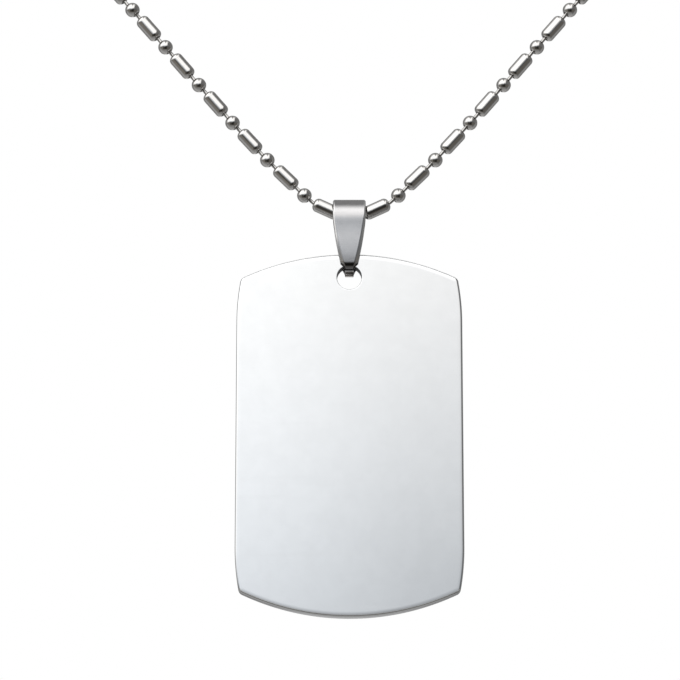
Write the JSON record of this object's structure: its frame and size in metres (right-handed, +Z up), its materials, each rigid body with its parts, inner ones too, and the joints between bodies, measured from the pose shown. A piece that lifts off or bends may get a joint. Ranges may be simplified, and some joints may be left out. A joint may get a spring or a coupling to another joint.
{
  "type": "identification tag necklace",
  "caption": "Plain polished identification tag that hangs by a folded bail from a closed ball-and-bar chain with a pull-through clasp.",
  "frame": {"origin": "centre of the clasp, where the chain lies on the nape", "axes": "+X to the wearer's left, -Y to the wearer's front where the tag's bare face looks, +Z up"},
  "size_m": [0.13, 0.1117, 0.1551],
  "materials": {
    "tag": "mirror polished stainless steel",
    "bail": "polished stainless steel",
    "chain": "tumble polished stainless steel",
    "link_wire": "drawn bright steel wire",
    "clasp": "rolled steel strip, fine brushed"
  },
  "bodies": {
    "chain": {"bead_chain": "chain", "chain_links": "link_wire", "clasp": "clasp"},
    "bail": {"bail": "bail"},
    "tag": {"tag": "tag"}
  },
  "joints": [
    {"name": "bail_swing", "type": "hinge", "parent": "chain", "child": "bail", "pos_m": [0, -0.108, -0.096], "axis": [1, 0, 0], "range_deg": [-90, 90]},
    {"name": "tag_swing", "type": "hinge", "parent": "bail", "child": "tag", "pos_m": [-0.0003, -0.108, -0.1052], "axis": [0, 1, 0], "range_deg": [-40, 40]}
  ]
}
